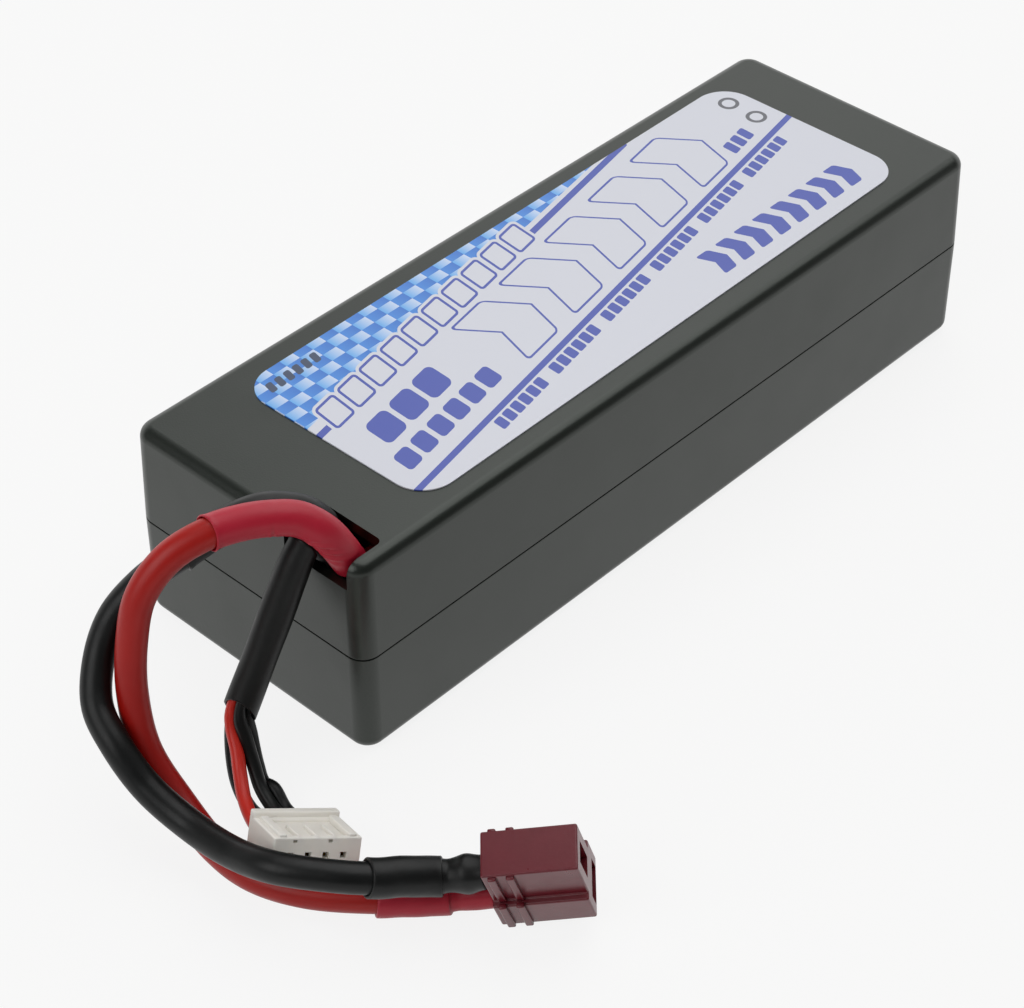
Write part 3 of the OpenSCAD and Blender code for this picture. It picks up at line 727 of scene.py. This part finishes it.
def vary(tree, shader, place, size, low, high):
    """Colour drifts between two tones over blotches of the given size in millimetres."""
    noise = add(tree, "TexNoise", Vector=place, Scale=1 / (size * MM), Detail=3.0, Roughness=0.55)
    mix = add(tree, "Mix", {"data_type": "RGBA"}, Factor=noise.outputs["Fac"], _6=srgb(low), _7=srgb(high))
    tree.links.new(mix.outputs[2], shader.inputs["Base Color"])


def rough_up(tree, shader, place, size, low, high):
    """Roughness drifts between two values over blotches of the given size in millimetres."""
    noise = add(tree, "TexNoise", Vector=place, Scale=1 / (size * MM), Detail=4.0, Roughness=0.6)
    drift = add(tree, "MapRange", Value=noise.outputs["Fac"], From_Min=0.3, From_Max=0.7,
                To_Min=low, To_Max=high)
    tree.links.new(drift.outputs["Result"], shader.inputs["Roughness"])


def grain(tree, shader, place, size, depth):
    """Fine surface relief: size and depth in millimetres."""
    noise = add(tree, "TexNoise", Vector=place, Scale=1 / (size * MM), Detail=2.0)
    relief = add(tree, "Bump", Height=noise.outputs["Fac"], Distance=depth * MM, Strength=1.0)
    tree.links.new(relief.outputs["Normal"], shader.inputs["Normal"])


# ABS moulded in a spark-eroded tool: black and satin, its edges drawn out by a soft sheen. The tool's grain
# is about 0.1 mm wide, and is drawn at 0.28 mm so that it shows
moulded_abs, tree, shader, place = finish(
    "moulded_abs", "#0d120e", 0.33, IOR=1.55, Specular_Tint=(0.93, 1, 0.93, 1))
vary(tree, shader, place, 14, "#0c110d", "#101410")
rough_up(tree, shader, place, 9, 0.3, 0.36)
grain(tree, shader, place, 0.28, 0.012)

# Silicone rubber, extruded round the strands: soft sheen, and a skin that is slightly uneven to the touch
red_silicone, tree, shader, place = finish("red_silicone", "#a01009", 0.42, IOR=1.4)
vary(tree, shader, place, 5, "#990e07", "#aa140c")
rough_up(tree, shader, place, 3, 0.34, 0.46)
grain(tree, shader, place, 0.6, 0.01)
red_wire, tree, shader, place = finish("red_wire", "#cf2a1d", 0.36, IOR=1.42)
vary(tree, shader, place, 3, "#c8251a", "#d83022")
grain(tree, shader, place, 0.6, 0.01)
black_silicone, tree, shader, place = finish("black_silicone", "#0a0c0c", 0.38, IOR=1.36)
vary(tree, shader, place, 5, "#080a0a", "#0e1010")
rough_up(tree, shader, place, 3, 0.34, 0.46)
grain(tree, shader, place, 0.6, 0.01)

# Polyolefin tubing, shrunk with hot air: even colour, broad sheen, faint drawn wrinkles
crimson_shrink, tree, shader, place = finish("crimson_shrink", "#aa132b", 0.4, IOR=1.44)
vary(tree, shader, place, 6, "#a31027", "#b21731")
rough_up(tree, shader, place, 4, 0.38, 0.5)
grain(tree, shader, place, 1.1, 0.03)
black_shrink, tree, shader, place = finish("black_shrink", "#080a0a", 0.4, IOR=1.38)
vary(tree, shader, place, 6, "#070808", "#0c0e0d")
rough_up(tree, shader, place, 4, 0.38, 0.5)
grain(tree, shader, place, 1.1, 0.03)

# Glass-filled nylon, moulded: dark red, semi-gloss faces with a little flow mottling
burgundy_nylon, tree, shader, place = finish("burgundy_nylon", "#66141f", 0.3, IOR=1.5)
vary(tree, shader, place, 2.5, "#5d101b", "#6b1724")
rough_up(tree, shader, place, 2, 0.27, 0.34)
grain(tree, shader, place, 0.5, 0.008)

# Natural nylon, moulded: milky, as light passes about a millimetre in
natural_nylon, tree, shader, place = finish(
    "natural_nylon", "#f0ece3", 0.42, IOR=1.45, Subsurface_Weight=0.25, Subsurface_Scale=1 * MM,
    Subsurface_Radius=(1, 0.95, 0.88))
vary(tree, shader, place, 3, "#ece8df", "#f4f1ea")
grain(tree, shader, place, 0.8, 0.006)

# Vinyl film, printed and laminated: semi-gloss, pale, with violet-blue ink. Its print is laid out in
# millimetres in the battery's own X and Y
PAPER_TONE = "#d3d5de"
PAPER, INK, RING_INK, SMALL_INK = (srgb(c) for c in (PAPER_TONE, "#4757ae", "#62646b", "#3d4a63"))
printed_vinyl, tree, shader, place = finish("printed_vinyl", PAPER_TONE, 0.34, IOR=1.5)
mm = add(tree, "VectorMath", {"operation": "SCALE"}, _0=place, Scale=1 / MM).outputs[0]


def axes(start, end):
    """Distances in millimetres along and across a printed line."""
    run = Vector(end) - Vector(start)
    line = add(tree, "Mapping", {"vector_type": "TEXTURE"}, Vector=mm, Location=(*start, 0),
               Rotation=(0, 0, math.atan2(run.y, run.x)))
    parts = add(tree, "SeparateXYZ", _0=line.outputs[0])
    return parts.outputs[0], parts.outputs[1], run.length


def calc(operation, *values):
    sockets = {f"_{i}": value for i, value in enumerate(values)}
    return add(tree, "Math", {"operation": operation}, **sockets).outputs[0]


def row(start, end, count, width, height, lean=0.25, fold=False, radius=0.6, gap=0):
    """Distance outside a row of rounded blocks on a printed line. They lean, or fold into chevrons;
    with a gap, each gap-th one is left out."""
    along, across, length = axes(start, end)
    pitch = length / count
    slid = calc("MULTIPLY_ADD", calc("ABSOLUTE", across) if fold else across, lean if fold else -lean, along)
    cell = calc("MINIMUM", calc("MAXIMUM", calc("FLOOR", calc("DIVIDE", slid, pitch)), 0), count - 1)
    x = calc("ABSOLUTE", calc("SUBTRACT", calc("MULTIPLY_ADD", cell, -pitch, slid), pitch / 2))
    y = calc("ABSOLUTE", across)
    corner = add(tree, "CombineXYZ", _0=calc("MAXIMUM", calc("SUBTRACT", x, width / 2 - radius), 0),
                 _1=calc("MAXIMUM", calc("SUBTRACT", y, height / 2 - radius), 0))
    reach = add(tree, "VectorMath", {"operation": "LENGTH"}, _0=corner.outputs[0]).outputs["Value"]
    away = calc("SUBTRACT", reach, radius)
    if gap:
        away = calc("ADD", away, calc("MULTIPLY", calc("LESS_THAN", calc("MODULO", cell, gap), 0.5), 9))
    return away


def solid(away, grown=0.0):
    return calc("LESS_THAN", away, grown)


def outline(away, line):
    """A line of that width just inside the blocks' edges."""
    return calc("COMPARE", away, -line / 2, line / 2)


def paint(under, mask, ink):
    return add(tree, "Mix", {"data_type": "RGBA"}, Factor=mask, _6=under, _7=ink).outputs[2]


# Woven pattern in the upper left corner, its threads shaded from end to end
weave = add(tree, "Mapping", {"vector_type": "TEXTURE"}, Vector=mm, Location=(-49.67, 10.5, 0.5),
            Rotation=(0, 0, math.radians(LABEL_TURN)), Scale=(2.685, 2.0, 1000))
checks = add(tree, "TexChecker", Vector=weave.outputs[0], Scale=1.0).outputs["Fac"]
ramp = calc("FRACT", add(tree, "SeparateXYZ", _0=weave.outputs[0]).outputs[0])
threads = paint(paint(srgb("#478bdc"), ramp, srgb("#3c78cc")), checks,
                paint(srgb("#62abea"), ramp, srgb("#cad8f0")))
above = axes((-52, 3.9), (22, 18.4))[1]
sheet = paint(PAPER, calc("GREATER_THAN", above, 0), threads)
# Two stripes, with a row of outlined blocks on a pale ground under the upper one
upper_stripe = row((-56, 0.65), (33, 19.3), 1, 91, 1.2, radius=0.3)
heading = row((-49.6, 3.3), (4.6, 14.6), 10, 4.7, 5.4, 0.32, radius=0.8)
lower_stripe = row((-56, -17.9), (62, 5.9), 1, 121, 1.1, radius=0.3)
sheet = paint(sheet, solid(upper_stripe), INK)
sheet = paint(sheet, solid(heading, 0.55), PAPER)
sheet = paint(sheet, outline(heading, 0.48), INK)
sheet = paint(sheet, solid(lower_stripe), INK)
# Large outlined chevrons, then solid bars and chevrons round the lower stripe
sheet = paint(sheet, outline(row((-19.5, -1.2), (44.5, 11.2), 5, 8.6, 14, 0.5, True, 1.0), 0.4), INK)
for bars in (row((-47.2, -4.5), (-29.8, -0.9), 3, 5, 5.4, radius=1.2),
             row((-49.2, -11.5), (-24.2, -6.2), 6, 3.3, 3.9, radius=0.8),
             row((-35.6, -15.9), (51.7, 1.6), 42, 1.7, 2.3, radius=0.35, gap=7),
             row((17, -12.5), (53, -12.1), 8, 2.8, 6, 0.4, True, 0.5),
             row((42.7, 5.6), (49.6, 7.1), 3, 1.8, 2.9, radius=0.4)):
    sheet = paint(sheet, solid(bars), INK)
# Two plain rings, and small dark bars on the woven corner
rings = row((53.6, 5.8), (53.6, 17.6), 2, 3.5, 3.5, 0.0, radius=1.7)
small_bars = row((-50.2, 14.5), (-39.2, 15.1), 6, 1.25, 2.2, radius=0.4)
sheet = paint(sheet, outline(rings, 0.65), RING_INK)
sheet = paint(sheet, solid(small_bars), SMALL_INK)
tree.links.new(sheet, shader.inputs["Base Color"])
grain(tree, shader, place, 3.5, 0.02)

# Gold plate on pressed brass: warm, bright metal
gold_plate, tree, shader, place = finish("gold_plate", "#d9a441", 0.28, Metallic=1.0)
vary(tree, shader, place, 1.5, "#cf9a38", "#e0ad4c")

# Laminated pouch foil, drawn over the cell: grey metal sheen with shallow dimples
pouch_foil, tree, shader, place = finish("pouch_foil", "#b9bcc0", 0.34, Metallic=0.9)
vary(tree, shader, place, 8, "#b1b4b8", "#c3c6c9")
grain(tree, shader, place, 2.5, 0.03)

# Rolled strip of the tabs and links: pale aluminium, and pinkish brown copper
rolled_aluminium, tree, shader, place = finish("rolled_aluminium", "#c8cacd", 0.35, Metallic=1.0)
vary(tree, shader, place, 1, "#c1c3c6", "#cfd1d4")
rolled_copper, tree, shader, place = finish("rolled_copper", "#c07a4a", 0.35, Metallic=1.0)
vary(tree, shader, place, 1, "#b67040", "#c98555")

# Foamed tape between the cells, and cut foam pads: matt, white and black, the pads with open pores
foam_tape, tree, shader, place = finish("foam_tape", "#e6e5df", 0.8)
vary(tree, shader, place, 2, "#dedcd4", "#ecebe6")
closed_foam, tree, shader, place = finish("closed_foam", "#2f3032", 0.95)
vary(tree, shader, place, 1, "#29292b", "#383a3c")
grain(tree, shader, place, 0.5, 0.06)

# Glass epoxy board with a green mask, vulcanised fibre sheet, and tin solder that froze with a light ripple
glass_board, tree, shader, place = finish("glass_board", "#1d5236", 0.4)
vary(tree, shader, place, 2, "#194a30", "#225c3d")
fish_paper, tree, shader, place = finish("fish_paper", "#b8935a", 0.85)
vary(tree, shader, place, 1.5, "#ae8950", "#c29d66")
tin_solder, tree, shader, place = finish("tin_solder", "#b4b6b8", 0.3, Metallic=1.0)
grain(tree, shader, place, 0.8, 0.04)

for material, slot_name, pieces in (
        (moulded_abs, "case_plastic", [lower_shell, upper_shell]),
        (printed_vinyl, "label_print", [label]),
        (burgundy_nylon, "burgundy_nylon", [plug]),
        (natural_nylon, "white_nylon", [housing]),
        (red_silicone, "red_silicone", [positive_lead]),
        (black_silicone, "black_silicone", [negative_lead] + wires[1:]),
        (red_wire, "red_silicone", wires[:1]),
        (crimson_shrink, "crimson_shrink", [positive_exit_sleeve, positive_plug_sleeve, positive_cover]),
        (black_shrink, "black_shrink",
         [negative_exit_sleeve, negative_plug_sleeve, negative_cover, balance_sheath])):
    for piece in pieces:
        dress(piece, material)
for material, nodes in (
        (pouch_foil, ("cell_1", "cell_2", "cell_3")),
        (rolled_aluminium, ("positive_tabs",)),
        (rolled_copper, ("negative_tabs", "series_links")),
        (foam_tape, ("cell_tape",)),
        (closed_foam, ("bottom_foam", "top_foam", "end_foam")),
        (glass_board, ("tab_board",)),
        (fish_paper, ("insulating_sheet",)),
        (tin_solder, ("solder_joints",)),
        (gold_plate, ("positive_contact", "negative_contact", "balance_contacts"))):
    for node in nodes:
        dress(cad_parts[node], material)


# ---------------------------------------------------------------- studio

BACKGROUND = 0.956         # just short of white
SHADOW = 0.1               # share of the floor's own shading that stays in view, for the shadow


def plain_view(tree, amount):
    """Amount for the rays that see the set directly, mirrored or through something; else nothing."""
    rays = add(tree, "LightPath").outputs
    seen = rays["Is Camera Ray"]
    for more in ("Is Glossy Ray", "Is Transmission Ray"):
        seen = add(tree, "Math", {"operation": "MAXIMUM"}, _0=seen, _1=rays[more]).outputs[0]
    return add(tree, "Math", {"operation": "MULTIPLY"}, _0=seen, _1=amount).outputs[0]


clear()
bpy.ops.mesh.primitive_plane_add(size=6, location=(0, 0, -0.2 * MM))
floor = bpy.context.object
floor.name = "floor"
material, tree, shader, place = finish("pale_floor", "#f2f2f0", 0.9)
glow = add(tree, "Emission", Color=(1, 1, 1, 1), Strength=BACKGROUND)
mixed = add(tree, "MixShader", _0=plain_view(tree, 1 - SHADOW), _1=shader.outputs[0], _2=glow.outputs[0])
out = next(n for n in tree.nodes if n.type == "OUTPUT_MATERIAL")
tree.links.new(mixed.outputs[0], out.inputs["Surface"])
floor.data.materials.append(material)
floor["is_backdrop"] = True


def soft_box(name, where, size, power):
    """Square lamp that faces the battery."""
    data = bpy.data.lights.new(name, "AREA")
    data.shape, data.size, data.energy = "SQUARE", size, power
    lamp = bpy.data.objects.new(name, data)
    bpy.context.scene.collection.objects.link(lamp)
    lamp.location = where
    lamp.rotation_mode = "QUATERNION"
    lamp.rotation_quaternion = (-Vector(where)).to_track_quat("-Z", "Y")


soft_box("over", (0.32, 0.05, 1.0), 1.1, 7.0)
soft_box("left", (-0.8, 0.1, 0.6), 0.7, 3.4)

# The room: bright backdrop across from the camera, dim behind it, and plain pale where it is seen
world = bpy.data.worlds.new("studio")
world.use_nodes = True
bpy.context.scene.world = world
tree = world.node_tree
back = next(n for n in tree.nodes if n.type == "BACKGROUND")
back.inputs["Color"].default_value = (1, 1, 1, 1)
way = add(tree, "TexCoord").outputs["Generated"]
near = add(tree, "VectorMath", {"operation": "DOT_PRODUCT"}, _0=way, _1=toward_camera).outputs["Value"]
room = add(tree, "MapRange", {"interpolation_type": "SMOOTHSTEP"}, Value=near, From_Min=-0.5, From_Max=0.15,
           To_Min=1.4, To_Max=0.16).outputs[0]
level = add(tree, "Mix", {"data_type": "FLOAT"}, Factor=add(tree, "LightPath").outputs["Is Camera Ray"],
            _2=room, _3=BACKGROUND).outputs[0]
tree.links.new(level, back.inputs["Strength"])
bpy.context.scene.view_settings.view_transform = "Standard"

low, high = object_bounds()
